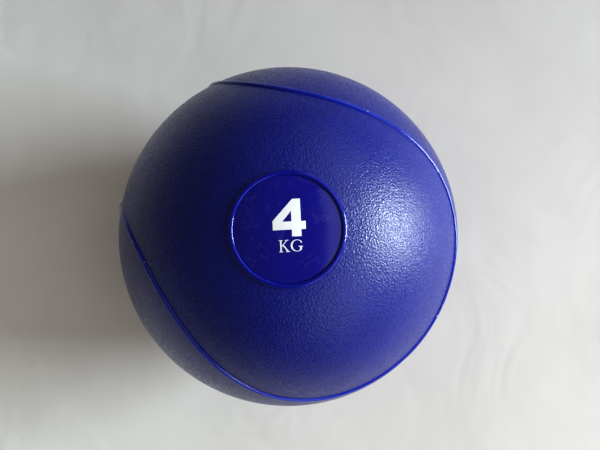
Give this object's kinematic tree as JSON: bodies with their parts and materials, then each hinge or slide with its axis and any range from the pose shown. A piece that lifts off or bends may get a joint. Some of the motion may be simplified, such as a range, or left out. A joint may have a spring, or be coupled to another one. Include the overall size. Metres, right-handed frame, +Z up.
{
  "type": "medicine ball",
  "caption": "Sand-filled rubber medicine ball with a pebbled cover, a raised seam bead, a round weight badge and a filling valve, for lifting, throwing and balance exercises.",
  "frame": {"origin": "centre of the flat patch the ball rests on, straight below the middle of the badge", "axes": "+Z up through the middle of the badge; +Y towards the top of the printed number, +X towards the right of it as it is read; the valve looks out level at 231 degrees from +X towards +Y"},
  "size_m": [0.23, 0.23, 0.2281],
  "materials": {
    "cover_rubber": "pebbled, half gloss",
    "bead_rubber": "smooth, glossy",
    "badge_rubber": "smooth, glossy",
    "ink": "printed",
    "black_rubber": "smooth",
    "nylon": "wound thread",
    "sand": "loose grains",
    "washer_plastic": "moulded",
    "peg_rubber": "smooth, half gloss"
  },
  "bodies": {
    "ball": {"cover_panel_badge": "cover_rubber", "cover_panel_valve": "cover_rubber", "seam_bead": "bead_rubber", "badge_ring": "bead_rubber", "badge_disc": "badge_rubber", "numeral_4": "ink", "letter_k": "ink", "letter_g": "ink", "carcass": "black_rubber", "nylon_winding": "nylon", "bladder": "black_rubber", "sand_fill": "sand", "valve_collar": "bead_rubber", "valve_sleeve": "black_rubber", "valve_washer": "washer_plastic"},
    "peg": {"valve_peg": "peg_rubber"}
  },
  "joints": [
    {"name": "valve_peg_pull", "type": "slide", "parent": "ball", "child": "peg", "axis": [-0.6293, -0.7771, 0], "range_m": [0, 0.014]}
  ]
}
